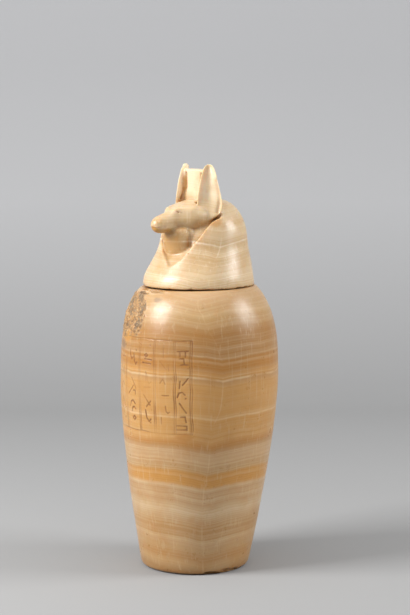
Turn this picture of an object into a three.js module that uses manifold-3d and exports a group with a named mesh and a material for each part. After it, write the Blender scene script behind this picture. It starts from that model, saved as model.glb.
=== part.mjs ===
// Canopic jar of banded calcite with a jackal-headed lid.
// Millimetres, +Z up, the jackal faces -Y. The origin is on the floor under the belly's centre.
import * as THREE from 'three';
import { mergeVertices } from 'three/addons/utils/BufferGeometryUtils.js';
import Module from 'manifold-3d';

const wasm = await Module();
wasm.setup();

// ---- driving dimensions ----
const rimHeight = 294;        // top of the jar, where the lid's edge rests
const totalHeight = 420;      // tips of the ears
const seamGap = 0.3;          // between the jar's rim and the lid
const seamTilt = 0.016;       // the seam climbs this much a millimetre along the lean line
const seamFade = 262;         // below this height the jar's shoulder is level
const leanAngle = 50;         // degrees from +X, in plan, of the line along which the jar leans
const roundSegments = 64;

const mouthRadius = 40;
const cavityFloor = 30;       // thickness of the jar's bottom
const plugRadius = 38;
const plugDepth = 12;

const jarOutline = [          // radius, height: from the floor up the outside to the rim
  [51.5, 0], [54.6, 0.9], [56.6, 3.2], [57.7, 8], [60, 22], [64.6, 46], [69.6, 77], [74, 105],
  [77.6, 134], [80.7, 162], [82.3, 188], [82.5, 212], [81.6, 236], [79, 254], [75.2, 269],
  [69.6, 281], [65, 288], [61.5, 291.8], [59.6, rimHeight]
];
const cavityOutline = [       // radius, height: from the mouth down to the cavity's floor
  [mouthRadius, rimHeight], [mouthRadius, 281], [49, 266], [58, 247], [62, 215], [61, 172],
  [57, 122], [50, 76], [41, 46], [28, 33], [0, cavityFloor]
];
const jarLean = [             // height, how far the section's centre stands off along the lean line
  [0, -5], [60, -3.5], [100, -2.4], [150, -1], [200, 0], [250, 0], [rimHeight, -1.2]
];
const rimFlake = { width: 34, radius: 6, out: 62, drop: 2.5 };
const footBite = { angle: 76, width: 42, radius: 4.6, out: 56 };

const clothSections = [       // height above the seam, how far back the centre lies, radius
  [0, 0, 56.8], [1.1, 0, 58.2], [5, 0.2, 57.6], [11, 0.6, 56.6], [17, 2.2, 54.4], [24, 4, 52],
  [34, 6, 48.6], [43, 7.2, 45.8], [54, 8, 44.5], [62, 8.6, 42.4], [70, 9.2, 38.8],
  [78, 9.8, 33.4], [84, 10, 27.4], [88, 10, 19.6], [90, 10, 10], [90.3, 10, 0]
];
const neckInsets = [          // height above the seam, how far the neck lies under the headcloth
  [0, 0.8], [22, 1], [26, 2.6], [31, 4.2], [38, 5.2], [46, 5.4], [56, 5.8], [67, 6.2],
  [76, 4.5], [90, 4]
];
const neckAside = 1.5;        // how far off centre the neck stands, towards the jackal's right
const clothOpening = [        // x, height, round the headcloth's opening from its low point
  [9, 317], [15, 320.5], [20.3, 327], [24.5, 336], [28.5, 344], [31.3, 351], [33, 360],
  [34.8, 366], [41, 376], [40, 396], [-40, 396], [-41, 376], [-34.8, 366], [-32.5, 359],
  [-27, 349], [-18.6, 339], [-9, 331], [1, 324]
];
const openingBack = [[300, -3], [364, -3], [374, 6], [384, 9]];  // height, y of its rear wall
const openingDepth = 100;
const headSections = [        // distance forward, underside, top, half width
  [-8, 352, 384, 19], [-2, 350.5, 384, 23], [4, 349.5, 384, 25.2], [10, 349.2, 383.6, 26.3],
  [17, 349.5, 382.4, 26.2], [24, 350.2, 380.8, 23.2], [30, 351, 378, 17.2],
  [36, 351.4, 374.2, 11.4], [44, 350.8, 371.6, 9.8], [52, 350.2, 369.3, 9.3],
  [57.5, 351.2, 367.2, 8], [61, 354.6, 364.4, 5], [62.2, 358.6, 360, 1]
];
const throatSections = [      // height, distance forward, half width, half depth
  [300, 20, 10, 12], [316, 22, 14, 14], [326, 23.5, 17, 15], [333, 24.3, 19, 16.4],
  [340, 25.3, 20, 17.4], [350, 27, 19.4, 17.8], [358, 28, 17, 15.5]
];
const ear = { x: 26.4, y: -10.4, foot: 359, turn: 42, leanBack: 8 };  // turned out, in degrees
const earHollow = { depth: 4.8, lip: 0.07, slope: 0.4, from: 0.1, full: 0.45 };
const earSections = [         // share of the height, half width, how far out, thickness
  [0, 3, -6, 6], [0.04, 4.8, -4.5, 8.5], [0.1, 8, -1.8, 10.5], [0.16, 11, 0.6, 11.2],
  [0.23, 12.9, 1.5, 11.6], [0.32, 13.3, 1.4, 11.4], [0.44, 12.7, 1, 10.8], [0.57, 11.4, 0.8, 10],
  [0.74, 9.2, 0.3, 9], [0.88, 7, -0.2, 8.2], [0.965, 4.8, -0.4, 7.4], [1, 1.6, -0.4, 4]
];
const web = { halfWidth: 16, front: -8, back: 5, foot: 372, top: 414.5 };

// ---- helpers ----
const radians = THREE.MathUtils.degToRad;
const { lerp: mix, smoothstep } = THREE.MathUtils;

// the rest of a table's row, at a place between its stations
function along(table, place) {
  const next = table.findIndex((row) => row[0] > place);
  if (next === 0) return table[0].slice(1);
  if (next < 0) return table.at(-1).slice(1);
  const [low, high] = [table[next - 1], table[next]];
  const share = (place - low[0]) / (high[0] - low[0]);
  return low.slice(1).map((value, i) => mix(value, high[i + 1], share));
}

// moves each vertex of a geometry to where place(x, y, z) puts it
function shaped(geometry, place) {
  const position = geometry.getAttribute('position');
  for (let i = 0; i < position.count; i += 1) {
    position.setXYZ(i, ...place(position.getX(i), position.getY(i), position.getZ(i)));
  }
  return geometry;
}

// a spun shape on the Z axis, from points of radius and height
function spun(outline, segments) {
  const points = outline.map(([radius, height]) => new THREE.Vector2(radius, height));
  return new THREE.LatheGeometry(points, segments).rotateX(Math.PI / 2);
}

// a drum of radius 1 with a ring at each station of a table, to be shaped section by section
function blank(table, segments) {
  const [first, last] = [table[0][0], table.at(-1)[0]];
  return spun([[0, first], ...table.map((row) => [1, row[0]]), [0, last]], segments);
}

// a closed solid, for cutting and joining
function solid(geometry) {
  geometry.deleteAttribute('normal');
  geometry.deleteAttribute('uv');
  const merged = mergeVertices(geometry, 1e-4);
  const index = merged.index.array;
  const triangles = [];
  for (let i = 0; i < index.length; i += 3) {
    const [a, b, c] = index.slice(i, i + 3);
    if (a !== b && b !== c && c !== a) triangles.push(a, b, c);
  }
  return new wasm.Manifold(new wasm.Mesh({
    numProp: 3,
    vertProperties: Float32Array.from(merged.getAttribute('position').array),
    triVerts: Uint32Array.from(triangles)
  }));
}

const joined = (parts) => parts.reduce((whole, part) => whole.add(part));

function meshOf(name, body, material) {
  const { vertProperties, triVerts } = body.getMesh();
  const geometry = new THREE.BufferGeometry();
  geometry.setAttribute('position', new THREE.BufferAttribute(vertProperties, 3));
  geometry.setIndex(new THREE.BufferAttribute(triVerts, 1));
  geometry.computeVertexNormals();
  const mesh = new THREE.Mesh(geometry, material);
  mesh.name = name;
  return mesh;
}

const [leanX, leanY] = [Math.cos(radians(leanAngle)), Math.sin(radians(leanAngle))];
const seamRise = (x, y) => seamTilt * (x * leanX + y * leanY);

// ---- the jar ----
// a flake lost from the rim, under the muzzle
function rimChip() {
  const { width, radius, out, drop } = rimFlake;
  const flake = new THREE.CylinderGeometry(radius, radius, width, 6).rotateZ(Math.PI / 2);
  return solid(flake.translate(0, -out, rimHeight - drop));
}

// a shallow bite out of the foot's edge
function footChip() {
  const { angle, width, radius, out } = footBite;
  const bite = new THREE.CylinderGeometry(radius, radius, width, 6).rotateZ(Math.PI / 2);
  return solid(bite.translate(0, -out, 0).rotateZ(radians(angle)));
}

// hollow, and a little out of true, as it was carved by hand
function jarBody() {
  const turned = spun([[0, 0], ...jarOutline, ...cavityOutline], roundSegments);
  const body = solid(shaped(turned, (x, y, z) => {
    const [lean] = along(jarLean, z);
    const fade = Math.max(0, (z - seamFade) / (rimHeight - seamFade)) ** 2;
    return [x + lean * leanX, y + lean * leanY, z + seamRise(x, y) * fade];
  }));
  return body.subtract(rimChip()).subtract(footChip());
}

// ---- the lid ----
// the headcloth: a bell whose sections stand further back as they rise; with insets, the neck
// inside it
function headcloth(insets, aside) {
  return solid(shaped(blank(clothSections, roundSegments), (x, y, level) => {
    const [back, radius] = along(clothSections, level);
    const [inset] = along(insets, level);
    const reach = Math.max(0, radius - inset);
    const fade = 1 - level / clothSections.at(-1)[0];
    const [lean] = along(jarLean, rimHeight);
    const placeX = x * reach + lean * leanX - aside;
    const placeY = y * reach + back + lean * leanY;
    const height = rimHeight + seamGap + Math.max(0, level - inset);
    return [placeX, placeY, height + seamRise(placeX, placeY) * fade];
  }));
}

// the block that clears the face and neck out of the headcloth's front
function openingBlock() {
  const outline = new THREE.Shape(clothOpening.map(([x, height]) => new THREE.Vector2(x, height)));
  const block = new THREE.ExtrudeGeometry(outline, { depth: openingDepth, bevelEnabled: false });
  return solid(shaped(block.rotateX(Math.PI / 2), (x, y, z) => (
    [x, y > -openingDepth / 2 ? along(openingBack, z)[0] : y, z]
  )));
}

// the skull and muzzle, drawn forward section by section
function head() {
  return solid(shaped(blank(headSections, 32), (x, y, forward) => {
    const [low, high, half] = along(headSections, forward);
    return [x * half, -forward, mix(low, high, (1 + y) / 2)];
  }));
}

// the round column of the throat, dying into the headcloth below
function throat() {
  return solid(shaped(blank(throatSections, 24), (x, y, height) => {
    const [forward, half, deep] = along(throatSections, height);
    return [x * half, y * deep - forward, height];
  }));
}

// a leaf with a hollow front, facing -Y, its foot at the origin, leaning back towards its tip
function earLeaf() {
  const height = totalHeight - ear.foot;
  const { depth, lip, slope, from, full } = earHollow;
  return shaped(blank(earSections, 24), (x, y, share) => {
    const [half, off, thick] = along(earSections, share);
    const deep = Math.min(depth, thick * 0.45) * smoothstep(share, from, full);
    const hollow = deep * smoothstep(1 - Math.abs(x), lip, slope);
    const set = ear.leanBack * share ** 3;
    return [off + x * half, (y > 0 ? y * thick : hollow) + set, share * height];
  });
}

// the left ear is turned out to the left, and the right one mirrors it
function ears() {
  const left = earLeaf().rotateZ(radians(ear.turn)).translate(ear.x, ear.y, ear.foot);
  const right = left.clone().scale(-1, 1, 1);
  const flipped = [];
  for (let i = 0; i < right.index.count; i += 3) {
    flipped.push(right.index.getX(i), right.index.getX(i + 2), right.index.getX(i + 1));
  }
  right.setIndex(flipped);
  return [solid(left), solid(right)];
}

// the slab of stone left between the ears
function earWeb() {
  const { halfWidth, front, back, foot, top } = web;
  const slab = new THREE.BoxGeometry(2 * halfWidth, back - front, top - foot);
  return solid(slab.translate(0, (front + back) / 2, (foot + top) / 2));
}

// the tenon that centres the lid in the mouth
function plug() {
  const top = rimHeight + 6;
  const outline = [
    [0, rimHeight - plugDepth], [plugRadius - 2, rimHeight - plugDepth],
    [plugRadius, rimHeight - plugDepth + 2], [plugRadius, top], [0, top]
  ];
  const [lean] = along(jarLean, rimHeight);
  return solid(spun(outline, roundSegments).translate(lean * leanX, lean * leanY, 0));
}

function lidBody() {
  const opening = openingBlock().subtract(headcloth(neckInsets, neckAside));
  const cloth = headcloth([[0, 0]], 0).subtract(opening);
  return joined([cloth, head(), throat(), ...ears(), earWeb(), plug()]);
}

// ---- the pieces ----
const calcite = { color: 0xd9b27c, roughness: 0.38, metalness: 0 };
const canopicJar = new THREE.Group();
canopicJar.add(meshOf('jar', jarBody(), new THREE.MeshStandardMaterial(calcite)));
canopicJar.add(meshOf('lid', lidBody(), new THREE.MeshStandardMaterial(calcite)));

export default canopicJar;
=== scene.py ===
# Canopic jar of banded calcite with a jackal-headed lid.
import math

import bpy
import numpy as np
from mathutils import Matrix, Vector, noise


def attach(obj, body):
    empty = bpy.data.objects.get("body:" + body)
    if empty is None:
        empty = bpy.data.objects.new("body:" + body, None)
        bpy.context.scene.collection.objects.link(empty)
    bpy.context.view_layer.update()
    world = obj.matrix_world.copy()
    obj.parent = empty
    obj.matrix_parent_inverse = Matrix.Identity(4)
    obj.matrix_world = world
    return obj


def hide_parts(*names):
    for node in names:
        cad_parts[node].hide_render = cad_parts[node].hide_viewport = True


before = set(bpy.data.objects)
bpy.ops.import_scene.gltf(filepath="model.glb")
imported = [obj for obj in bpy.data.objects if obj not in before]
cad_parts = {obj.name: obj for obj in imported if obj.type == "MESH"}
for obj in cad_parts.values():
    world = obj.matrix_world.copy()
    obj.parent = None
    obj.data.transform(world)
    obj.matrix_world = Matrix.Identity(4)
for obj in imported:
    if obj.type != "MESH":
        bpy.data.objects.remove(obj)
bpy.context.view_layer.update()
mm = 0.001
print("frame loaded")


# short ways to select, settle, cut and smooth
def deselect():
    if bpy.context.object and bpy.context.object.mode != "OBJECT":
        bpy.ops.object.mode_set(mode="OBJECT")
    bpy.ops.object.select_all(action="DESELECT")


def pick(*objects):  # makes these the selection, the first one active
    deselect()
    for thing in objects:
        thing.select_set(True)
    bpy.context.view_layer.objects.active = objects[0]
    return objects[0]


def settle(thing):  # the place goes into the mesh, the object back to the origin
    pick(thing)
    bpy.ops.object.transform_apply(location=True, rotation=True, scale=True)


def modify(thing, kind, **settings):  # adds a modifier and applies it
    pick(thing)
    step = thing.modifiers.new(kind.lower(), kind)
    for key, value in settings.items():
        setattr(step, key, value)
    bpy.ops.object.modifier_apply(modifier=step.name)


def subtract(thing, cutter):
    modify(thing, "BOOLEAN", operation="DIFFERENCE", object=cutter, solver="MANIFOLD")
    bpy.data.objects.remove(cutter)


def drawUp(name, sides, stations):  # stations: x, y, z of the ring's centre, its two radii, in mm
    swell = 3 / (2 + math.cos(2 * math.pi / sides))  # subdivision pulls a ring in by this much
    deselect()
    bpy.ops.mesh.primitive_circle_add(vertices=sides, radius=1, fill_type="NGON")
    piece = bpy.context.object
    piece.name = name
    bpy.ops.object.mode_set(mode="EDIT")
    bpy.ops.mesh.select_all(action="SELECT")
    at, radii = Vector((0, 0, 0)), (1, 1)
    for count, (x, y, z, across, deep) in enumerate(stations):
        place = Vector((x, y, z)) * mm
        wide = (across * mm * swell, deep * mm * swell)
        if count == 0:
            bpy.ops.transform.translate(value=place)
        else:
            bpy.ops.mesh.extrude_region_move(TRANSFORM_OT_translate={"value": place - at})
        bpy.ops.transform.resize(
            value=(wide[0] / radii[0], wide[1] / radii[1], 1), center_override=place)
        at, radii = place, wide
    bpy.ops.mesh.select_all(action="SELECT")
    bpy.ops.mesh.normals_make_consistent(inside=False)
    bpy.ops.object.mode_set(mode="OBJECT")
    return piece


def moveVerts(piece, place):  # place(point in mm) gives the vertex's new point in mm
    for vertex in piece.data.vertices:
        vertex.co = Vector(place(vertex.co / mm)) * mm


def carve(piece, path, width, depth):  # a rounded groove, or a pit where the path is one point
    nodes = [np.array(piece.closest_point_on_mesh(Vector(point) * mm)[1]) / mm for point in path]
    count = len(piece.data.vertices)
    points = np.empty(count * 3, dtype=np.float32)
    piece.data.vertices.foreach_get("co", points)
    points = points.reshape(-1, 3) / mm
    normals = np.empty(count * 3, dtype=np.float32)
    piece.data.vertices.foreach_get("normal", normals)
    away = np.full(count, 1e9)
    for a, b in zip(nodes, nodes[1:] or nodes):
        run = b - a
        share = np.clip((points - a) @ run / max(run @ run, 1e-9), 0, 1)
        away = np.minimum(away, np.linalg.norm(points - a - share[:, None] * run, axis=1))
    sink = depth * np.exp(-(away / width) ** 2)
    points -= normals.reshape(-1, 3) * sink[:, None]
    piece.data.vertices.foreach_set("co", (points * mm).ravel())
    piece.data.update()


def soften(piece, places, reach, times):  # smooths round each place, on both sides of the middle
    spots = np.array(places + [(-x, y, z) for x, y, z in places])
    count = len(piece.data.vertices)
    points = np.empty(count * 3, dtype=np.float32)
    piece.data.vertices.foreach_get("co", points)
    points = points.reshape(-1, 3) / mm
    away = np.min(np.linalg.norm(points[:, None] - spots[None], axis=2), axis=1)
    group = piece.vertex_groups.new(name="soft")
    for index in np.flatnonzero(away < reach):
        weight = min(1, 2 * (1 - away[index] / reach))
        group.add([int(index)], float(weight), "REPLACE")
    modify(piece, "SMOOTH", factor=0.5, iterations=times, vertex_group="soft")
    piece.vertex_groups.clear()


def blend(table, at):  # the rest of a table's row at a place between its stations
    if at <= table[0][0]:
        return table[0][1:]
    for low, high in zip(table, table[1:]):
        if at <= high[0]:
            share = (at - low[0]) / (high[0] - low[0])
            return tuple(a + (b - a) * share for a, b in zip(low[1:], high[1:]))
    return table[-1][1:]


# camera, floor and light
view = {
    "turn": 50,         # degrees round from the jackal's front, towards its left
    "pitch": 6.75,      # degrees down
    "distance": 1.828,
    "height": 0.487,
    "aside": 0.0057,    # how far right of the jar's axis the camera stands
    "lens": 103.6,
}
turn = math.radians(view["turn"])
rightWay = Vector((math.cos(turn), math.sin(turn), 0))
nearWay = Vector((math.sin(turn), -math.cos(turn), 0))


def stageSpot(right, near, up):  # a point given as the camera sees it
    return rightWay * right + nearWay * near + Vector((0, 0, up))


def addCamera():
    spot = stageSpot(view["aside"], view["distance"], view["height"])
    bpy.ops.object.camera_add(
        location=spot, rotation=(math.radians(90 - view["pitch"]), 0, turn))
    camera = bpy.context.object
    camera.data.lens = view["lens"]
    camera.data.clip_start = 0.05
    bpy.context.scene.camera = camera


sweep = {"front": 1.5, "back": -0.9, "bend": 0.55, "top": 2.4, "half": 3.0, "steps": 24}


def addSweep():  # one sheet of paper: floor, bend and wall
    deselect()
    bpy.ops.mesh.primitive_plane_add(size=1)
    paper = bpy.context.object
    paper.name = "backdrop"
    bpy.ops.object.mode_set(mode="EDIT")
    bpy.ops.mesh.select_all(action="SELECT")
    deep = sweep["front"] - sweep["back"]
    bpy.ops.transform.resize(value=(2 * sweep["half"], deep, 1))
    bpy.ops.transform.translate(value=(0, -(sweep["front"] + sweep["back"]) / 2, 0))
    bpy.ops.object.mode_set(mode="OBJECT")
    backY = -sweep["back"]
    for edge in paper.data.edges:
        edge.select = all(paper.data.vertices[i].co.y > backY - 0.01 for i in edge.vertices)
    for vertex in paper.data.vertices:
        vertex.select = vertex.co.y > backY - 0.01
    for face in paper.data.polygons:
        face.select = False
    bpy.ops.object.mode_set(mode="EDIT")
    bpy.ops.mesh.select_mode(type="EDGE")
    bend = sweep["bend"]
    for step in range(sweep["steps"]):
        a, b = [math.pi / 2 * (step + k) / sweep["steps"] for k in (0, 1)]
        move = (0, bend * (math.sin(b) - math.sin(a)), bend * (math.cos(a) - math.cos(b)))
        bpy.ops.mesh.extrude_region_move(TRANSFORM_OT_translate={"value": move})
    bpy.ops.mesh.extrude_region_move(TRANSFORM_OT_translate={"value": (0, 0, sweep["top"])})
    bpy.ops.object.mode_set(mode="OBJECT")
    paper.rotation_euler.z = turn
    settle(paper)
    bpy.ops.object.shade_smooth()
    return paper


lamps = {
    "left": {"turn": -69, "rise": 29, "away": 1.7, "size": 0.75, "watts": 42},
    "right": {"turn": 84, "rise": 27, "away": 1.8, "size": 0.75, "watts": 23},
    "top": {"turn": 10, "rise": 80, "away": 1.9, "size": 1.6, "watts": 10},
}
aimHeight = 0.3
roomLight = 0.4


def addLamps():
    for name, lamp in lamps.items():
        side, rise = math.radians(lamp["turn"]), math.radians(lamp["rise"])
        flat = lamp["away"] * math.cos(rise)
        spot = stageSpot(flat * math.sin(side), flat * math.cos(side),
                         aimHeight + lamp["away"] * math.sin(rise))
        aim = Vector((0, 0, aimHeight)) - spot
        bpy.ops.object.light_add(type="AREA", location=spot,
                                 rotation=aim.to_track_quat("-Z", "Y").to_euler())
        light = bpy.context.object
        light.name = name + " softbox"
        light.data.energy = lamp["watts"]
        light.data.size = lamp["size"]
    world = bpy.data.worlds.new("studio")
    bpy.context.scene.world = world
    world.use_nodes = True
    glow = world.node_tree.nodes["Background"].inputs
    glow["Color"].default_value = (1, 1, 1, 1)
    glow["Strength"].default_value = roomLight


addCamera()
addLamps()
backdrop = addSweep()
bpy.context.scene.view_settings.view_transform = "Standard"
print("camera, lamps and backdrop set")


# materials are built through this
class Recipe:  # a material's node tree, with short ways to add to it
    def __init__(self, name):
        self.material = bpy.data.materials.new(name)
        self.material.use_nodes = True
        self.tree = self.material.node_tree
        self.shader = self.tree.nodes["Principled BSDF"]

    def add(self, kind, sockets=None, **settings):
        node = self.tree.nodes.new("ShaderNode" + kind)
        for key, value in settings.items():
            setattr(node, key, value)
        for key, value in (sockets or {}).items():
            self.feed(node.inputs[key], value)
        return node

    def feed(self, socket, value):
        if isinstance(value, bpy.types.NodeSocket):
            self.tree.links.new(value, socket)
        else:
            socket.default_value = value

    def math(self, operation, *values, clamp=False):
        sockets = dict(enumerate(values))
        return self.add("Math", sockets, operation=operation, use_clamp=clamp).outputs[0]

    def mix(self, share, a, b, mode="MIX"):
        node = self.add("Mix", {0: share, 6: a, 7: b}, data_type="RGBA", blend_type=mode)
        return node.outputs[2]

    def noise(self, place, scale, detail=2.0, rough=0.5, flat=False):
        size = {"Scale": scale, "Detail": detail, "Roughness": rough}
        if flat:
            return self.add("TexNoise", {**size, "W": place}, noise_dimensions="1D").outputs[0]
        return self.add("TexNoise", {**size, "Vector": place}).outputs[0]

    def ramp(self, at, stops, smooth="LINEAR"):  # stops: place, colour or grey
        node = self.add("ValToRGB", {0: at})
        node.color_ramp.interpolation = smooth
        marks = node.color_ramp.elements
        while len(marks) > 1:
            marks.remove(marks[-1])
        for count, (place, tone) in enumerate(stops):
            mark = marks[0] if count == 0 else marks.new(place)
            mark.position = place
            mark.color = (*tone, 1) if isinstance(tone, tuple) else (tone, tone, tone, 1)
        return node.outputs[0]


def paperMaterial():
    recipe = Recipe("studio paper")
    place = recipe.add("TexCoord").outputs["Object"]
    height = recipe.add("SeparateXYZ", {0: place}).outputs[2]
    # painted shade: the one sheet of paper is coloured darker on the floor and lighter up the bend and
    # wall
    tone = recipe.ramp(height, [(0.0, (0.33, 0.33, 0.33)), (0.02, (0.33, 0.33, 0.332)),
                                (0.3, (0.435, 0.437, 0.445)), (1.0, (0.435, 0.437, 0.45))])
    grain = recipe.ramp(recipe.noise(place, 900, 2), [(0.3, 0.97), (0.7, 1.0)])
    recipe.feed(recipe.shader.inputs["Base Color"], recipe.mix(1.0, tone, grain, "MULTIPLY"))
    recipe.shader.inputs["Roughness"].default_value = 0.9
    recipe.shader.inputs["Specular IOR Level"].default_value = 0.2
    return recipe.material


backdrop.data.materials.append(paperMaterial())


# the jar's body
jar = {
    "sides": 64,
    "rim": 294,
    "lean": 50,         # degrees from +X of the line along which the jar is out of true
    "seamTilt": 0.016,  # the seam climbs this much along that line
    "seamFade": 262,    # below this the shoulder is level
    "wall": 64,         # all that stands further out than this is the outside
    "hump": 0.35,       # unevenness left by hand grinding
}
jarOutline = [  # radius, height, up the outside
    (0.6, 0), (30, 0), (47, 0), (51.5, 0), (54.6, 0.9), (56.6, 3.2), (57.7, 8), (60, 22), (64.6, 46),
    (69.6, 77), (74, 105), (77.6, 134), (80.7, 162), (82.3, 188), (82.5, 212), (81.6, 236),
    (79, 254), (75.2, 269), (69.6, 281), (65, 288), (61.5, 291.8), (59.6, 293.6)]
cavityOutline = [  # radius, height, over the rim and down the inside
    (57, 294), (48, 294), (41.4, 294), (40, 292.6), (40, 281), (49, 266), (58, 247), (62, 215),
    (61, 172), (57, 122), (50, 76), (41, 46), (28, 33), (14, 30.2), (0.6, 30)]
jarLean = [  # height, how far the section stands off along the lean line
    (0, -5), (60, -3.5), (100, -2.4), (150, -1), (200, 0), (250, 0), (294, -1.2)]
leanWay = Vector((math.cos(math.radians(jar["lean"])), math.sin(math.radians(jar["lean"])), 0))
fineParts = [  # least and most degrees round from the front, heights: where the mesh is finer
    (-48, 48, 146, 252), (-60, 14, 252, 291)]
damage = {  # where broken: degrees round, distance out, height, then the bite's three half sizes
    "rim flake": (0, 61.5, 292.5, 19, 6.5, 2.6), "rim flake deep": (-12, 63.5, 291, 13, 5, 3.2),
    "foot chip": (64, 54.5, -0.3, 13, 5.5, 4.2), "foot chip far": (88, 55, 0, 16, 6, 5.2)}
crust = {"turn": -21, "out": 76, "height": 270, "across": 33, "up": 29, "thick": 1.1}


def leaning(height):
    return leanWay * blend(jarLean, height)[0]


def seamRise(point, fade):
    return jar["seamTilt"] * (point.x * leanWay.x + point.y * leanWay.y) * fade


def frontTurn(x, y):  # degrees round from the front, towards the jackal's left
    return math.degrees(math.atan2(x, -y))


def roundSpot(degrees, out, height):  # the opposite: a point in mm from its place round the jar
    way = math.radians(degrees)
    return Vector((out * math.sin(way), -out * math.cos(way), height))


def refine(body):  # cuts up the faces of the inscribed and the crusted parts, and rounds them again
    mesh = body.data
    rings = {}
    for vertex in mesh.vertices:
        if vertex.co.xy.length > jar["wall"] * mm:
            rings.setdefault(round(vertex.co.z / mm, 3), []).append(vertex.co.xy.copy())
    table = []
    for height, ring in sorted(rings.items()):
        if len(ring) < 4 * jar["sides"]:  # a ring that the lean takes partly inside the wall
            continue
        centre = sum(ring, Vector((0, 0))) / len(ring)
        table.append((height, centre.x, centre.y, sum((v - centre).length for v in ring) / len(ring)))
    table = np.array(table)

    def inPart(point):
        degrees = frontTurn(point.x, point.y)
        return point.xy.length > jar["wall"] * mm and any(
            low < degrees < high and foot < point.z / mm < top for low, high, foot, top in fineParts)

    for cuts, upright in ((2, True), (2, False)):
        pick(body)
        bpy.ops.object.mode_set(mode="EDIT")
        bpy.ops.mesh.select_mode(type="EDGE" if upright else "FACE")
        bpy.ops.mesh.select_all(action="DESELECT")
        bpy.ops.object.mode_set(mode="OBJECT")
        if upright:  # first only the upright edges
            for edge in mesh.edges:
                a, b = [mesh.vertices[i].co for i in edge.vertices]
                edge.select = inPart((a + b) / 2) and abs(a.z - b.z) > 0.9 * (a - b).length
        else:
            for face in mesh.polygons:
                face.select = inPart(face.center)
        bpy.ops.object.mode_set(mode="EDIT")
        bpy.ops.mesh.subdivide(number_cuts=cuts)
        bpy.ops.object.mode_set(mode="OBJECT")

    slopes = np.gradient(table[:, 1:], table[:, 0], axis=0)
    for vertex in mesh.vertices:
        height = vertex.co.z / mm
        row = int(np.searchsorted(table[:, 0], height)) - 1
        if vertex.co.xy.length < jar["wall"] * mm or not 0 <= row < len(table) - 1:
            continue
        span = table[row + 1, 0] - table[row, 0]
        t = (height - table[row, 0]) / span
        x, y, radius = (
            (1 + 2 * t) * (1 - t) ** 2 * table[row, 1:] + t * (1 - t) ** 2 * span * slopes[row]
            + t * t * (3 - 2 * t) * table[row + 1, 1:] + t * t * (t - 1) * span * slopes[row + 1])
        side = Vector((vertex.co.x - x, vertex.co.y - y)).normalized() * radius
        vertex.co.x, vertex.co.y = x + side.x, y + side.y


def turnJar():
    stations = []
    for radius, height in jarOutline + cavityOutline:
        centre = leaning(height)
        stations.append((centre.x, centre.y, height, radius, radius))
    body = drawUp("jar_stone", jar["sides"], stations)
    modify(body, "SUBSURF", levels=2, render_levels=2)
    refine(body)

    def trueUp(point):
        fade = max(0, (point.z - jar["seamFade"]) / (jar["rim"] - jar["seamFade"])) ** 2
        side = Vector((point.x, point.y, 0)).normalized()
        hump = jar["hump"] * (noise.noise(point * 0.03) - 0.6)
        if point.z < 1 or fade > 0.9:
            hump = 0
        return point + side * hump + Vector((0, 0, seamRise(point, fade)))

    moveVerts(body, trueUp)
    return body


def breakBite(turned, out, height, across, deep, tall):  # a lump that leaves a broken hollow
    deselect()
    bpy.ops.mesh.primitive_ico_sphere_add(subdivisions=5, radius=mm)
    bite = bpy.context.object
    bite.scale = (across, deep, tall)
    bite.rotation_euler.z = math.radians(turned)
    bite.location = roundSpot(turned, out, height) * mm
    settle(bite)
    centre = roundSpot(turned, out, height)
    moveVerts(bite, lambda point: centre + (point - centre) * (
        1 + 0.28 * noise.noise(point * 0.12) + 0.14 * noise.noise(point * 0.45)))
    return bite


def growCrust(body):  # lime and dirt grown on one side of the shoulder; gives each vertex's share
    shares = []
    centre = roundSpot(crust["turn"], crust["out"], crust["height"])
    across = Vector((math.cos(math.radians(crust["turn"])), math.sin(math.radians(crust["turn"])), 0))
    for vertex in body.data.vertices:
        point = vertex.co / mm
        away = point - centre
        reach = Vector((away.dot(across) / crust["across"], away.z / crust["up"],
                        away.cross(across).z / crust["across"])).length
        share = 0
        if reach < 1.5 and point.xy.length > jar["wall"] - 4:
            edge = 0.3 * noise.noise(point * 0.07) + 0.16 * noise.noise(point * 0.3)
            share = min(1, max(0, (1.02 - reach + edge) * 6))
        shares.append(share)
        if share and point.z < jar["rim"] - 3:
            lumps = abs(noise.noise(point * 0.2)) * 1.4 + 0.5 * noise.noise(point * 0.5) - 0.25
            side = Vector((point.x, point.y, 0)).normalized()
            vertex.co += side * share * crust["thick"] * lumps * mm
    return shares


jarStone = turnJar()
for bite in damage.values():
    subtract(jarStone, breakBite(*bite))
print("jar turned:", len(jarStone.data.polygons), "faces")


# the inscription: ruled columns of shallow strokes
panel = {
    "rules": (-44, -30, -15, 2.5, 16.5, 32.5, 44.5),  # degrees round from the front
    "foot": 151,
    "top": 246,
    "double": 1.9,      # mm between the two lines of a rule
    "line": 0.55,       # half width of a ruled line
    "stroke": 0.75,     # half width of a stroke
    "depth": 0.55,
    "radius": 82,       # of the wall under it, so that degrees round become mm
    "margin": 6,        # room above and below in which a stroke may wander
}
shapes = {  # in a square from -1 to 1
    "bar": [(0, 1), (0, -1)],
    "flat": [(-1, 0), (1, 0.05)],
    "hook": [(-0.2, 1), (0, -0.4), (0.5, -1), (0.9, -0.6)],
    "arc": [(-1, -0.5), (-0.6, 0.4), (0.1, 0.7), (0.8, 0.2)],
    "slant": [(-0.7, 0.9), (0.7, -0.9)],
    "rise": [(-0.8, -0.8), (0.1, 0.1), (0.8, 0.9)],
    "bend": [(-0.9, 0.5), (0.3, 0.6), (0.5, -0.8)],
    "dot": [(-0.1, 0), (0.1, 0)],
    "ring": [(-0.8, 0), (0, 0.7), (0.8, 0), (0, -0.7), (-0.8, 0)],
    "tent": [(-0.9, -0.6), (0, 0.7), (0.9, -0.6)],
}
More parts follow.
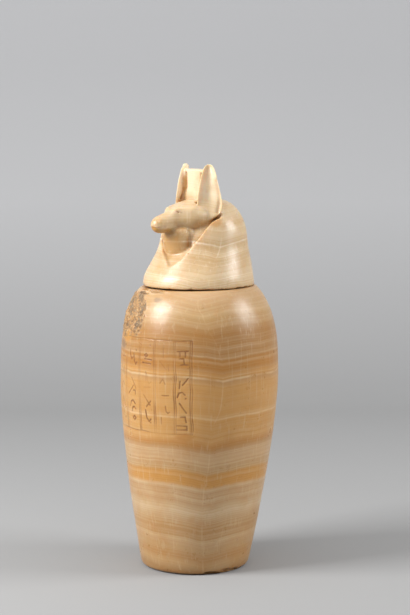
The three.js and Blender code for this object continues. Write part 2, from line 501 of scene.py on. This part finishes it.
columns = [  # one list for each column: shape, mm across from its middle, height, half size
    [("hook", -2, 232, 5), ("bar", 3, 228, 4), ("flat", 0, 213, 5), ("ring", 0, 200, 3.5),
     ("slant", 1, 186, 5), ("arc", 0, 172, 5), ("bend", -1, 160, 4)],
    [("bend", 0, 236, 5), ("flat", 1, 224, 5), ("slant", -3, 212, 5), ("bar", 3, 209, 4.5),
     ("arc", 0, 193, 6), ("tent", 0, 179, 4), ("hook", 1, 164, 5)],
    [("hook", -4, 228, 5), ("hook", 3, 224, 5.5), ("dot", 6, 233, 1.5), ("slant", 2, 199, 5.5),
     ("rise", -3, 192, 5), ("bend", 4, 190, 3), ("arc", 0, 177, 5.5), ("arc", 2, 172, 4),
     ("ring", 2, 163, 3.2)],
    [("dot", 4, 240, 2.4), ("ring", -1, 229, 2.6), ("flat", 2, 225, 4.5), ("flat", 0, 221, 5.5),
     ("bar", -1, 208, 4.5), ("hook", 1, 206, 5), ("flat", 1, 197, 4), ("slant", 0, 184, 5.5),
     ("rise", 2, 180, 3.4), ("hook", -1, 168, 6), ("dot", 4, 161, 1.6)],
    [("bar", -1, 235, 6), ("dot", 2.6, 233, 1.4), ("slant", -1, 221, 5), ("bar", 5, 219, 3.4),
     ("tent", -2, 204, 3.4), ("flat", 1, 190, 3.6), ("hook", 2, 176, 3.6), ("bar", -4, 164, 3.4)],
    [("flat", 0, 235.6, 6), ("bar", -3, 233, 2.6), ("bar", 3, 232.6, 2.4), ("bend", 0, 226, 4),
     ("flat", 2, 222, 4), ("bar", -3.4, 202, 3.6), ("rise", 2.6, 205, 3.6), ("arc", -1, 191, 4.4),
     ("dot", 3.4, 188, 1.4), ("slant", 0, 178.5, 5), ("bend", 1, 167.4, 4),
     ("flat", -1.6, 159.6, 5), ("flat", -1.6, 155.4, 5), ("bar", 3.2, 157.6, 2.2)],
]
faint = (0.7, 0.8, 1, 1, 0.55, 0.9)  # how well each column has lasted


def ruling():  # the lines round and between the columns, as paths in degrees and mm
    foot, top, rules = panel["foot"], panel["top"], panel["rules"]
    apart = math.degrees(panel["double"] / panel["radius"] / 2)
    for turned in rules:
        for side in (-1, 1):
            yield [(turned + side * apart, top - step * (top - foot) / 8) for step in range(9)]
    for height in (foot, top):
        steps = 18
        yield [(rules[0] + (rules[-1] - rules[0]) * step / steps, height) for step in range(steps + 1)]


def cutInscription(body):  # gives each vertex's share of stroke
    count = len(body.data.vertices)
    flatPlace = np.empty(count * 3, dtype=np.float32)
    body.data.vertices.foreach_get("co", flatPlace)
    points = flatPlace.reshape(-1, 3) / mm
    radius = np.hypot(points[:, 0], points[:, 1])
    turned = np.degrees(np.arctan2(points[:, 0], -points[:, 1]))
    foot, top = panel["foot"] - panel["margin"], panel["top"] + panel["margin"]
    near = np.flatnonzero((radius > jar["wall"]) & (np.abs(turned) < 50)
                          & (points[:, 2] > foot) & (points[:, 2] < top))
    flat = np.stack([np.radians(turned[near]) * panel["radius"], points[near, 2]], axis=1)
    wander = np.array([(noise.noise(Vector((x, z, 0)) * 0.06), noise.noise(Vector((x, z, 50)) * 0.06))
                       for x, z in flat])
    flat = flat + wander * 1.1  # lines cut by hand are never quite straight
    worn = np.array([0.62 + 0.75 * noise.noise(Vector((x, z, 9)) * 0.045) for x, z in flat])
    share = np.zeros(len(near))

    def press(path, half, strength):
        for a, b in zip(path, path[1:]):
            a, b = np.array(a), np.array(b)
            run = b - a
            along = np.clip((flat - a) @ run / max(run @ run, 1e-9), 0, 1)
            away = np.linalg.norm(flat - a - along[:, None] * run, axis=1)
            np.maximum(share, strength * np.exp(-(away / half) ** 2), out=share)

    for path in ruling():
        path = [(math.radians(degrees) * panel["radius"], height) for degrees, height in path]
        press(path, panel["line"], 0.62)
    for left, right, marks, strength in zip(panel["rules"], panel["rules"][1:], columns, faint):
        middle = math.radians((left + right) / 2) * panel["radius"]
        for shape, across, height, half in marks:
            path = [(middle + across + half * x, height + half * z) for x, z in shapes[shape]]
            press(path, panel["stroke"], strength)
    share *= np.clip(worn, 0.15, 1)
    side = points[near, :2] / radius[near, None]
    points[near, :2] -= side * (share * panel["depth"])[:, None]
    body.data.vertices.foreach_set("co", (points * mm).ravel())
    shares = np.zeros(count, dtype=np.float32)
    shares[near] = share
    return shares


def keepShares(piece, name, shares):
    layer = piece.data.attributes.new(name, "FLOAT", "POINT")
    layer.data.foreach_set("value", np.array(shares, dtype=np.float32))


strokes = cutInscription(jarStone)
keepShares(jarStone, "crust", growCrust(jarStone))
keepShares(jarStone, "strokes", strokes)
print("inscription cut:", len(jarStone.data.polygons), "faces")


# the lid
lid = {
    "foot": 294.35,     # underside of the lid's edge
    "top": 420,
    "aside": 1.5,       # the neck stands off centre by this much, towards the jackal's right
    "voxel": 0.5,
    "smooth": 26,
    "keep": 0.42,       # share of the faces kept afterwards
    "hump": 0.45,       # unevenness left by hand grinding
}
plug = {"radius": 38, "foot": 282, "top": 300, "edge": 1.5}
clothStations = [  # height above the edge, how far back the centre lies, radius
    (0, 0, 56.8), (1.1, 0, 58.2), (5, 0.2, 57.6), (11, 0.6, 56.6), (17, 2.2, 54.4), (24, 4, 52),
    (34, 6, 48.6), (43, 7.2, 45.8), (54, 8, 44.5), (62, 8.6, 42.4), (70, 9.2, 38.8),
    (78, 9.8, 33.4), (84, 10, 27.4), (88, 10, 19.6), (90, 10, 10), (90.3, 10, 1)]
neckInset = [  # height above the edge, how far the neck lies under the headcloth's surface
    (0, 0.8), (22, 1.0), (26, 2.6), (31, 4.2), (38, 5.2), (46, 5.4), (56, 5.8), (67, 6.2),
    (76, 4.5), (90, 4)]
openingOutline = [  # x, height, round the edge of the headcloth, from its low point
    (9, 317), (15, 320.5), (20.3, 327), (24.5, 336), (28.5, 344), (31.3, 351), (33, 360),
    (34.8, 366), (41, 376), (40, 396), (-40, 396), (-41, 376), (-34.8, 366), (-32.5, 359),
    (-27, 349), (-18.6, 339), (-9, 331), (1, 324)]
openingBack = [(0, -3), (364, -3), (374, 6), (384, 9)]  # height, y of the opening's rear wall
headStations = [  # distance forward, underside, top, half width
    (-8, 352, 384, 19), (-2, 350.5, 384, 23), (4, 349.5, 384, 25.2), (10, 349.2, 383.6, 26.3),
    (17, 349.5, 382.4, 26.2), (24, 350.2, 380.8, 23.2), (30, 351, 378, 17.2),
    (36, 351.4, 374.2, 11.4), (44, 350.8, 371.6, 9.8), (52, 350.2, 369.3, 9.3),
    (57.5, 351.2, 367.2, 8), (61, 354.6, 364.4, 5), (62.2, 358.6, 360, 1)]
throatStations = [  # height, distance forward, half width, half depth
    (300, 20, 10, 12), (316, 22, 14, 14), (326, 23.5, 17, 15), (333, 24.3, 19, 16.4),
    (340, 25.3, 20, 17.4), (350, 27, 19.4, 17.8), (358, 28, 17, 15.5)]
ear = {"x": 26.4, "y": -10.4, "foot": 359, "turn": 42, "leanBack": 8, "hollow": 4.8, "spare": 0.1}
earStations = [  # share of the height, half width, how far out its centre lies, thickness
    (0.0, 3, -6, 6), (0.04, 4.8, -4.5, 8.5), (0.1, 8, -1.8, 10.5), (0.16, 11, 0.6, 11.2),
    (0.23, 12.9, 1.5, 11.6), (0.32, 13.3, 1.4, 11.4), (0.44, 12.7, 1, 10.8), (0.57, 11.4, 0.8, 10),
    (0.74, 9.2, 0.3, 9), (0.88, 7, -0.2, 8.2), (0.965, 4.8, -0.4, 7.4), (1.0, 1.6, -0.4, 4)]
web = {"half": 16, "front": -8, "back": 5, "foot": 372, "top": 414.5, "edge": 1.6}


def headcloth(name, insets=None):
    shift = leaning(jar["rim"])
    if insets:
        shift = shift - Vector((lid["aside"], 0, 0))
    stations = [] if insets else [(shift.x, shift.y, lid["foot"], 30, 30)]
    for rise, back, radius in clothStations:
        inset = blend(insets, rise)[0] if insets else 0
        reach = max(0.8, radius - inset)
        height = lid["foot"] + rise - (inset if rise > 60 else 0)
        stations.append((shift.x, shift.y + back, height, reach, reach))
    cloth = drawUp(name, 48, stations)
    modify(cloth, "SUBSURF", levels=2, render_levels=2)
    return cloth


def openingBlock():  # clears face and neck out of the headcloth's front
    deselect()
    bpy.ops.mesh.primitive_circle_add(vertices=len(openingOutline), fill_type="NGON")
    block = bpy.context.object
    for vertex, (x, z) in zip(block.data.vertices, openingOutline):
        vertex.co = Vector((x, -100, z)) * mm
    bpy.ops.object.mode_set(mode="EDIT")
    bpy.ops.mesh.select_all(action="SELECT")
    bpy.ops.mesh.extrude_region_move(TRANSFORM_OT_translate={"value": (0, 100 * mm, 0)})
    bpy.ops.mesh.select_all(action="SELECT")
    bpy.ops.mesh.normals_make_consistent(inside=False)
    bpy.ops.object.mode_set(mode="OBJECT")
    moveVerts(block, lambda point: point if point.y < -50 else Vector(
        (point.x, blend(openingBack, point.z)[0], point.z)))
    return block


def makeHead():
    stations = [(0, (low + high) / 2, forward, half, (high - low) / 2)
                for forward, low, high, half in headStations]
    head = drawUp("head", 24, stations)
    head.rotation_euler.x = math.pi / 2
    settle(head)
    modify(head, "SUBSURF", levels=2, render_levels=2)
    return head


def makeThroat():
    stations = [(0, -forward, height, half, deep) for height, forward, half, deep in throatStations]
    throat = drawUp("throat", 20, stations)
    modify(throat, "SUBSURF", levels=2, render_levels=2)
    return throat


def makeEar(side):
    tall = lid["top"] + ear["spare"] - ear["foot"]
    stations = [(side * out, ear["leanBack"] * share ** 3, share * tall, half, thick)
                for share, half, out, thick in earStations]
    leaf = drawUp("ear", 24, stations)
    for vertex in leaf.data.vertices:
        share = vertex.co.z / mm / tall
        half, out, thick = blend(earStations, share)
        back = ear["leanBack"] * share ** 3
        across = min(1, abs((vertex.co.x / mm - side * out) / half))
        if vertex.co.y / mm < back - 0.01:  # the front half of the ring is dished
            deep = min(ear["hollow"], 0.45 * thick) * min(1, max(0, share - 0.1) / 0.35)
            dish = deep * max(0, 1 - across * 1.12) ** 0.6
            vertex.co.y = (back + dish) * mm
        else:  # the back half is squared, so that the rims are thick
            vertex.co.y = (back + thick * (1 - across ** 3) ** 0.45) * mm
    leaf.rotation_euler.z = side * math.radians(ear["turn"])
    leaf.location = Vector((side * ear["x"], ear["y"], ear["foot"])) * mm
    settle(leaf)
    modify(leaf, "SUBSURF", levels=2, render_levels=2)
    return leaf


def makeBlock(name, low, high, edge):  # a slab with rounded edges
    deselect()
    middle, span = (low + high) / 2, high - low
    bpy.ops.mesh.primitive_cube_add(size=1, location=middle * mm, scale=span * mm)
    slab = bpy.context.object
    slab.name = name
    settle(slab)
    modify(slab, "BEVEL", width=edge * mm, segments=3)
    return slab


def makePlug():
    shift = leaning(jar["rim"])
    radius, foot, edge = plug["radius"], plug["foot"], plug["edge"]
    stations = [(shift.x, shift.y, height, r, r) for height, r in (
        (foot, 1), (foot, 20), (foot, radius - edge), (foot + edge, radius),
        (plug["top"] - 1, radius), (plug["top"], radius), (plug["top"], 1))]
    tenon = drawUp("plug", 48, stations)
    modify(tenon, "SUBSURF", levels=2, render_levels=2)
    return tenon


softened = [  # places, reach, how many times; where hollows are rubbed smooth
    ([(25.5, -14, 373), (26, -12, 366)], 9, 160),
    ([(18, -28, 353), (22, -24, 354)], 5, 60),
    ([(32, -17, 360), (34.5, -4, 368), (34, 2, 372), (29, -26, 346), (20, -39, 327),
      (9, -46, 319), (-4, -44, 326), (24.5, -33, 336)], 6, 50),
]


def carveLid():
    cloth = headcloth("lid_stone")
    block = openingBlock()
    subtract(block, headcloth("neck", neckInset))
    subtract(cloth, block)
    slab = makeBlock("web", Vector((-web["half"], web["front"], web["foot"])),
                     Vector((web["half"], web["back"], web["top"])), web["edge"])
    forms = [makeHead(), makeThroat(), makePlug(), slab]
    forms += [makeEar(side) for side in (-1, 1)]
    pick(cloth, *forms)
    bpy.ops.object.join()
    modify(cloth, "REMESH", mode="VOXEL", voxel_size=lid["voxel"] * mm)
    modify(cloth, "SMOOTH", factor=0.5, iterations=lid["smooth"])
    for places, reach, times in softened:
        soften(cloth, places, reach, times)
    return cloth


# path, width, depth (below nothing it stands up instead), and whether the right side has it too
grooves = {
    "beside the throat": ([(18.5, -28.4, 354), (18.9, -28.8, 346), (19.4, -29, 338)],
                          2.2, 1.9, True),
    "brow": ([(6, -37, 372), (11, -31.5, 376), (18, -26, 375)], 4.5, -2.2, True),
    "brow end": ([(6.5, -35.5, 373.8)], 3.8, -1.5, True),
    "ear to web": ([(13, -12, 384), (11.5, -10, 396), (12, -9, 410)], 1.4, 2.4, True),
    "ear foot": ([(13, -13, 382)], 2.0, 2.6, True),
    "ear rim": ([(34, -4, 372), (34.6, -3.2, 382), (33.4, -3.6, 393), (31, -4.4, 404)],
                2.2, 1.3, True),
    "eye": ([(7.7, -36.4, 371.8), (9.8, -35.9, 371.5)], 0.8, 0.9, True),
    "under the eye": ([(9.8, -35.9, 371.5), (13, -34, 370.8)], 0.6, 0.4, True),
    "mouth": ([(1, -62, 356), (6, -59, 356.4), (9, -53, 357)], 0.7, 0.5, True),
    "muzzle nicks": ([(6.6, -58.7, 360)], 0.6, 0.5, False),
}


def cutGrooves(piece):
    for path, width, depth, both in grooves.values():
        carve(piece, path, width, depth)
        if both:
            carve(piece, [(-x, y, z) for x, y, z in path], width, depth)


def weatherLid(piece):  # the hand's unevenness, and the edge worn ragged
    edge = lid["foot"]

    def wear(point):
        if point.z < edge + 0.6 and math.hypot(point.x, point.y) < 50:
            return point
        side = Vector((point.x, point.y, 0)).normalized()
        hump = lid["hump"] * noise.noise(point * 0.05)
        near = max(0, 1 - (point.z - edge) / 3.5)
        chip = 1.5 * max(0, noise.noise(point * 0.11) + 0.6 * noise.noise(point * 0.4)) * near
        return point + side * (hump - chip) + Vector((0, 0, 0.5 * chip))

    moveVerts(piece, wear)


lidStone = carveLid()
cutGrooves(lidStone)
weatherLid(lidStone)
modify(lidStone, "DECIMATE", ratio=lid["keep"])
print("lid carved:", len(lidStone.data.polygons), "faces")


# banded calcite
tones = {
    "ivory": (0.74, 0.60, 0.41),    # the lid's own, from light to dark; buff and amber also paint shade on it
    "cream": (0.63, 0.47, 0.285),
    "buff": (0.54, 0.365, 0.185),
    "amber": (0.47, 0.24, 0.06),
    "milk": (0.60, 0.44, 0.26),     # the jar's own; honey also tints its hollows, patina together with painted shade
    "pale": (0.51, 0.32, 0.16),
    "shoulder": (0.47, 0.295, 0.13),
    "fawn": (0.43, 0.225, 0.078),
    "umber": (0.375, 0.185, 0.056),
    "straw": (0.53, 0.275, 0.08),
    "honey": (0.42, 0.19, 0.042),
    "gold": (0.53, 0.255, 0.057),
    "rust": (0.46, 0.21, 0.05),
    "tan": (0.47, 0.285, 0.125),
    "foot": (0.35, 0.185, 0.065),
    "white": (0.72, 0.54, 0.33),
    "lime": (0.27, 0.18, 0.095),    # what has grown or lodged on it; the darkest also paints shade in the deepest hollows
    "grey": (0.17, 0.12, 0.075),
    "earth": (0.22, 0.085, 0.022),
    "dirtAndShade": (0.08, 0.042, 0.02),
}
stoneHeight = 430  # what a ramp's full length stands for

jarBands = [  # height of the middle of each layer
    (0, "foot"), (9, "foot"), (15, "tan"), (24, "fawn"), (31, "tan"), (38, "pale"), (44, "tan"),
    (48, "fawn"), (56, "tan"), (63, "pale"), (70, "milk"), (80, "pale"), (96, "pale"),
    (98.5, "gold"), (110, "gold"), (115, "tan"), (126, "pale"), (133, "pale"), (138, "fawn"),
    (142, "rust"), (147, "straw"), (203, "straw"), (208.5, "fawn"), (214, "gold"),
    (218, "honey"), (227, "honey"), (233, "umber"), (256, "umber"), (272, "shoulder"),
    (290, "pale")]
jarLines = [  # height, half width, strength of the thin white layers
    (41, 1.6, 0.3), (54, 1.0, 0.2), (96.6, 1.1, 0.6), (124, 1.5, 0.25), (147.2, 1.0, 0.45),
    (169.5, 1.3, 0.6), (173.5, 0.8, 0.3), (206, 0.9, 0.35), (209.6, 1.5, 0.9), (213, 0.8, 0.3),
    (226, 0.9, 0.35), (231.3, 1.1, 0.6), (234.4, 0.8, 0.5), (262, 1.4, 0.2), (275, 2.0, 0.35)]
lidBands = [
    (294, "buff"), (303, "cream"), (312, "cream"), (326, "buff"), (334, "cream"), (341, "buff"),
    (350, "cream"), (362, "buff"), (372, "cream"), (384, "cream"), (392, "ivory"), (420, "ivory")]
lidLines = [(326.5, 0.9, 0.5), (342.4, 1.2, 0.9), (358, 0.8, 0.25), (308, 0.8, 0.3)]
lidWhite = (0.93, 0.84, 0.68)

fault = {  # the healed crack where every layer kinks downwards
    "path": [(0, 4), (85, 4), (115, 9), (155, 13), (182, 22), (222, 23), (235, 19.5), (247, 15),
             (255, 10), (270, 3.5), (284, -1.5), (320, 14), (342, 22), (430, 24)],
    "reach": 34,        # how far to each side the layers bend
    "depth": 5.2,
}


def layerHeight(recipe, place):  # which layer of the stone a point lies in, in mm
    apart = recipe.add("SeparateXYZ", {0: place})
    across, height = apart.outputs[0], apart.outputs[2]
    curve = recipe.add("FloatCurve", {1: recipe.math("DIVIDE", height, stoneHeight)})
    points = curve.mapping.curves[0].points
    spots = [(z / stoneHeight, 0.5 + x / 100) for z, x in fault["path"]]
    points[0].location, points[1].location = spots[0], spots[-1]
    for spot in spots[1:-1]:
        points.new(*spot)
    curve.mapping.update()
    crack = recipe.math("MULTIPLY", recipe.math("SUBTRACT", curve.outputs[0], 0.5), 100)
    apartBy = recipe.math("ABSOLUTE", recipe.math("SUBTRACT", across, crack))
    near = recipe.math("SUBTRACT", 1, recipe.math("DIVIDE", apartBy, fault["reach"]), clamp=True)
    kink = recipe.math("MULTIPLY", recipe.math("POWER", near, 1.35), fault["depth"])
    slow = recipe.math("SUBTRACT", recipe.noise(place, 0.011, 1), 0.5)
    quick = recipe.math("SUBTRACT", recipe.noise(place, 0.05, 3), 0.5)
    sway = recipe.math("MULTIPLY_ADD", slow, 9, recipe.math("MULTIPLY", quick, 2.6))
    return recipe.math("ADD", recipe.math("ADD", height, kink), sway), apartBy


def bandStops(bands):
    return [(height / stoneHeight, tones[tone]) for height, tone in bands]


def lineStops(lines):
    stops = []
    for height, half, strength in sorted(lines):
        stops += [((height - half) / stoneHeight, 0.0), (height / stoneHeight, strength),
                  ((height + half) / stoneHeight, 0.0)]
    return stops


def lineShare(recipe, level, lines):  # ten lines to a ramp, which takes 32 stops
    share = 0.0
    for first in range(0, len(lines), 10):
        some = recipe.ramp(level, lineStops(lines[first:first + 10]))
        share = recipe.math("MAXIMUM", share, some)
    return share


def calcite(name, bands, lines, looks):
    recipe = Recipe(name)
    metres = recipe.add("TexCoord").outputs["Object"]
    place = recipe.add("Mapping", {
        "Vector": metres, "Scale": (1 / mm, 1 / mm, 1 / mm),
        "Rotation": (0, 0, -turn)}).outputs[0]
    recipe.place = place
    recipe.spot = recipe.add("VectorMath", {0: metres, "Scale": 1 / mm}, operation="SCALE").outputs[0]
    layer, fromCrack = layerHeight(recipe, place)
    level = recipe.math("DIVIDE", layer, stoneHeight)
    colour = recipe.ramp(level, bandStops(bands))

    # fine laminations, stronger in some layers and places than in others
    broad = recipe.noise(layer, 0.16, 2, 0.6, flat=True)
    fine = recipe.noise(layer, looks["fineness"], 3, 0.65, flat=True)
    patch = recipe.noise(place, 0.022, 3, 0.55)
    calm = recipe.ramp(level, [(height / stoneHeight, share) for height, share in looks["lined"]])
    strength = recipe.math("MULTIPLY_ADD", patch, 1.6, -0.05, clamp=True)
    strength = recipe.math("MULTIPLY", strength, calm)
    paleWay = recipe.ramp(broad, [(0.42, 0.0), (0.75, 0.5)])
    colour = recipe.mix(recipe.math("MULTIPLY", paleWay, strength), colour, looks["light"])
    darkWay = recipe.ramp(fine, [(0.2, 0.7), (0.5, 0.0)])
    colour = recipe.mix(recipe.math("MULTIPLY", darkWay, strength), colour, looks["dark"])
    lightWay = recipe.ramp(fine, [(0.52, 0.0), (0.8, 0.45)])
    colour = recipe.mix(recipe.math("MULTIPLY", lightWay, strength), colour, looks["light"])

    # cloudy warm stains, faint upright streaks, and a few brown specks
    cloud = recipe.ramp(recipe.noise(place, 0.03, 4, 0.6), [(0.48, 0.0), (0.72, 0.4)])
    colour = recipe.mix(cloud, colour, looks["dark"])
    long = recipe.add("Mapping", {"Vector": place, "Scale": (0.42, 0.42, 0.014)}).outputs[0]
    streak = recipe.ramp(recipe.noise(long, 1.0, 2, 0.5), [(0.58, 0.0), (0.7, 0.3)])
    colour = recipe.mix(streak, colour, looks["light"])
    speck = recipe.ramp(recipe.noise(place, 0.35, 3, 0.7), [(0.63, 0.0), (0.73, 0.55)])
    where = recipe.ramp(recipe.noise(place, 0.02, 2), [(0.5, 0.0), (0.62, 1.0)])
    colour = recipe.mix(recipe.math("MULTIPLY", speck, where), colour, (*tones["earth"], 1))

    # thin white layers, broken along their run, and the crack's own pale vein
    whites = lineShare(recipe, level, lines)
    broken = recipe.ramp(recipe.noise(place, 0.045, 3, 0.6), [(0.33, 0.2), (0.6, 0.9)])
    colour = recipe.mix(recipe.math("MULTIPLY", whites, broken), colour, looks["white"])
    vein = recipe.ramp(recipe.math("DIVIDE", fromCrack, 2), [(0.0, 0.3), (0.5, 0.0)])
    veinWhere = recipe.ramp(recipe.noise(place, 0.035, 3), [(0.45, 0.0), (0.62, 1.0)])
    colour = recipe.mix(recipe.math("MULTIPLY", vein, veinWhere), colour, looks["white"])

    recipe.colour = colour
    recipe.gloss = recipe.ramp(recipe.noise(place, 0.09, 4, 0.65), [(0.3, 0.26), (0.7, 0.4)])
    recipe.shader.inputs["Subsurface Weight"].default_value = looks["glow"]
    recipe.shader.inputs["Subsurface Radius"].default_value = (1.0, 0.55, 0.25)
    recipe.shader.inputs["Subsurface Scale"].default_value = 0.008
    grain = recipe.noise(place, 1.1, 4, 0.7)
    dents = recipe.noise(place, 0.12, 3, 0.6)
    recipe.relief = recipe.math("MULTIPLY_ADD", grain, 0.12, dents)
    return recipe


def addStainsAndShade(recipe, stainsAndShade):  # soft-edged patches, stains and painted shade: centre and half sizes in mm, tone, strength
    ragged = recipe.math("MULTIPLY_ADD", recipe.noise(recipe.spot, 0.16, 4, 0.6), 0.9, -0.45)
    for centre, halves, tone, strength in stainsAndShade:
        away = recipe.add("VectorMath", {0: recipe.spot, 1: centre}, operation="SUBTRACT").outputs[0]
        away = recipe.add("VectorMath", {0: away, 1: halves}, operation="DIVIDE").outputs[0]
        reach = recipe.add("VectorMath", {0: away}, operation="LENGTH").outputs["Value"]
        reach = recipe.math("ADD", reach, ragged)
        share = recipe.ramp(reach, [(0.45, strength), (1.0, 0.0)], "EASE")
        recipe.colour = recipe.mix(share, recipe.colour, (*tones[tone], 1))


def addHollowPatinaAndShade(recipe, patinaAndShade, paintedShade):  # amber patina and painted shade in the hollows, by ambient occlusion; near-black painted shade in the deepest
    hollow = recipe.add("AmbientOcclusion", {"Distance": 0.009}, samples=12).outputs["AO"]
    # amber by occlusion: the patina of the hollows together with painted shade
    share = recipe.ramp(hollow, [(0.35, patinaAndShade), (0.85, 0.0)])
    recipe.colour = recipe.mix(share, recipe.colour, (*tones["honey"], 1))
    # near-black painted shade in the deepest hollows
    share = recipe.ramp(hollow, [(0.08, paintedShade), (0.36, 0.0)])
    recipe.colour = recipe.mix(share, recipe.colour, (*tones["dirtAndShade"], 1))


def finishCalcite(recipe):  # joins colour, gloss and relief to the shader
    recipe.feed(recipe.shader.inputs["Base Color"], recipe.colour)
    recipe.feed(recipe.shader.inputs["Roughness"], recipe.gloss)
    bump = recipe.add("Bump", {"Strength": 0.25, "Distance": 0.0006, "Height": recipe.relief})
    recipe.feed(recipe.shader.inputs["Normal"], bump.outputs[0])


def addStrokeDirt(recipe):  # brown earth left in the strokes
    share = recipe.add("Attribute", attribute_name="strokes").outputs["Fac"]
    patchy = recipe.ramp(recipe.noise(recipe.place, 0.16, 4, 0.65), [(0.35, 0.55), (0.6, 1.0)])
    filled = recipe.ramp(share, [(0.08, 0.0), (0.45, 0.9)])
    filled = recipe.math("MULTIPLY", filled, patchy)
    recipe.colour = recipe.mix(filled, recipe.colour, (*tones["earth"], 1))


def addCrust(recipe):  # grey and golden lime with dark rims
    place = recipe.place
    share = recipe.add("Attribute", attribute_name="crust").outputs["Fac"]
    bent = recipe.add("TexNoise", {"Vector": place, "Scale": 0.13, "Detail": 3.0}).outputs["Color"]
    bent = recipe.add("VectorMath", {0: bent, "Scale": 14.0}, operation="SCALE").outputs[0]
    bent = recipe.add("VectorMath", {0: place, 1: bent}, operation="ADD").outputs[0]
    cells = recipe.add("TexVoronoi", {"Vector": bent, "Scale": 0.12, "Randomness": 1.0},
                       feature="DISTANCE_TO_EDGE").outputs["Distance"]
    tint = recipe.ramp(recipe.noise(place, 0.11, 4, 0.65), [
        (0.36, tones["grey"]), (0.45, tones["lime"]), (0.52, tones["fawn"]), (0.6, tones["pale"]),
        (0.68, tones["rust"])])
    dark = recipe.ramp(cells, [(0.0, 0.7), (0.09, 0.0)])
    pores = recipe.ramp(recipe.noise(place, 0.45, 4, 0.7), [(0.36, 0.8), (0.5, 0.0)])
    tint = recipe.mix(recipe.math("MAXIMUM", dark, pores), tint, (*tones["dirtAndShade"], 1))
    cover = recipe.ramp(share, [(0.1, 0.0), (0.6, 0.9)])
    recipe.colour = recipe.mix(cover, recipe.colour, tint)
    recipe.gloss = recipe.mix(cover, recipe.gloss, (0.75, 0.75, 0.75, 1))
    lumps = recipe.math("MULTIPLY", recipe.noise(place, 0.6, 5, 0.7), share)
    recipe.relief = recipe.math("MULTIPLY_ADD", lumps, 3.0, recipe.relief)


jarLooks = {
    "light": (*tones["milk"], 1), "dark": (*tones["honey"], 1), "white": (*tones["white"], 1),
    "fineness": 0.6, "glow": 0.3,
    "lined": [(0, 0.8), (60, 1.0), (135, 0.9), (150, 0.55), (200, 0.55), (225, 0.8), (262, 0.5),
              (294, 0.7)],
}
lidLooks = {
    "light": (*tones["ivory"], 1), "dark": (*tones["amber"], 1), "white": (*lidWhite, 1),
    "fineness": 0.85, "glow": 0.4, "lined": [(294, 1.0), (350, 1.0), (375, 0.5), (420, 0.4)],
}
jarStains = [
    ((0, -58, 290), (22, 8, 3.4), "milk", 0.85),        # the rim's fresh break
    ((-26, -76, 246), (18, 10, 9), "gold", 0.8),
    ((-34, -72, 236), (14, 10, 7), "grey", 0.55),
    ((14, -70, 285), (9, 8, 4), "grey", 0.5),
    ((30, -40, 8), (5, 8, 5), "earth", 0.85),           # dark spots by the foot
    ((50, -10, 3), (12, 8, 4), "earth", 0.6),
    ((10, -52, 3), (22, 10, 4), "earth", 0.6),
    ((48, -60, 148), (16, 12, 5), "rust", 0.7),
]
lidStainsAndShade = [
    ((2, -36, 342), (22, 14, 26), "amber", 0.75),       # the throat's deeper amber, partly painted shade under the head
    ((0, -60, 355), (8, 9, 5), "amber", 0.95),          # painted shade under the snout's end
    # the next patch is painted shade under the muzzle
    ((4, -48, 352), (12, 14, 5), "amber", 0.7),
    ((34, -6, 362), (7, 10, 8), "amber", 0.6),          # painted shade behind the ear's lobe
    ((-13, -9, 398), (3, 4, 20), "amber", 0.9),         # painted shade in the channel beside the far ear
    ((34, -4, 384), (3.5, 4, 22), "amber", 0.6),        # painted shade along the near ear's rim
    # the next patch is painted shade on the headcloth's upper right, which faces away from the lamps
    ((30, 12, 384), (12, 14, 10), "buff", 0.6),
]
jarCalcite = calcite("jar calcite", jarBands, jarLines, jarLooks)
addStainsAndShade(jarCalcite, jarStains)
addHollowPatinaAndShade(jarCalcite, 0.6, 0.85)
addCrust(jarCalcite)
addStrokeDirt(jarCalcite)
finishCalcite(jarCalcite)
lidCalcite = calcite("lid calcite", lidBands, lidLines, lidLooks)
addStainsAndShade(lidCalcite, lidStainsAndShade)
addHollowPatinaAndShade(lidCalcite, 0.7, 0.9)
finishCalcite(lidCalcite)
for piece, recipe in ((jarStone, jarCalcite), (lidStone, lidCalcite)):
    piece.data.materials.clear()
    piece.data.materials.append(recipe.material)
print("stone coloured")


# each piece rides on the one body and stands for its own node
for piece, node in ((jarStone, "jar"), (lidStone, "lid")):
    pick(piece)
    bpy.ops.object.shade_smooth_by_angle(angle=math.radians(50))
    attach(piece, "root")
    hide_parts(node)
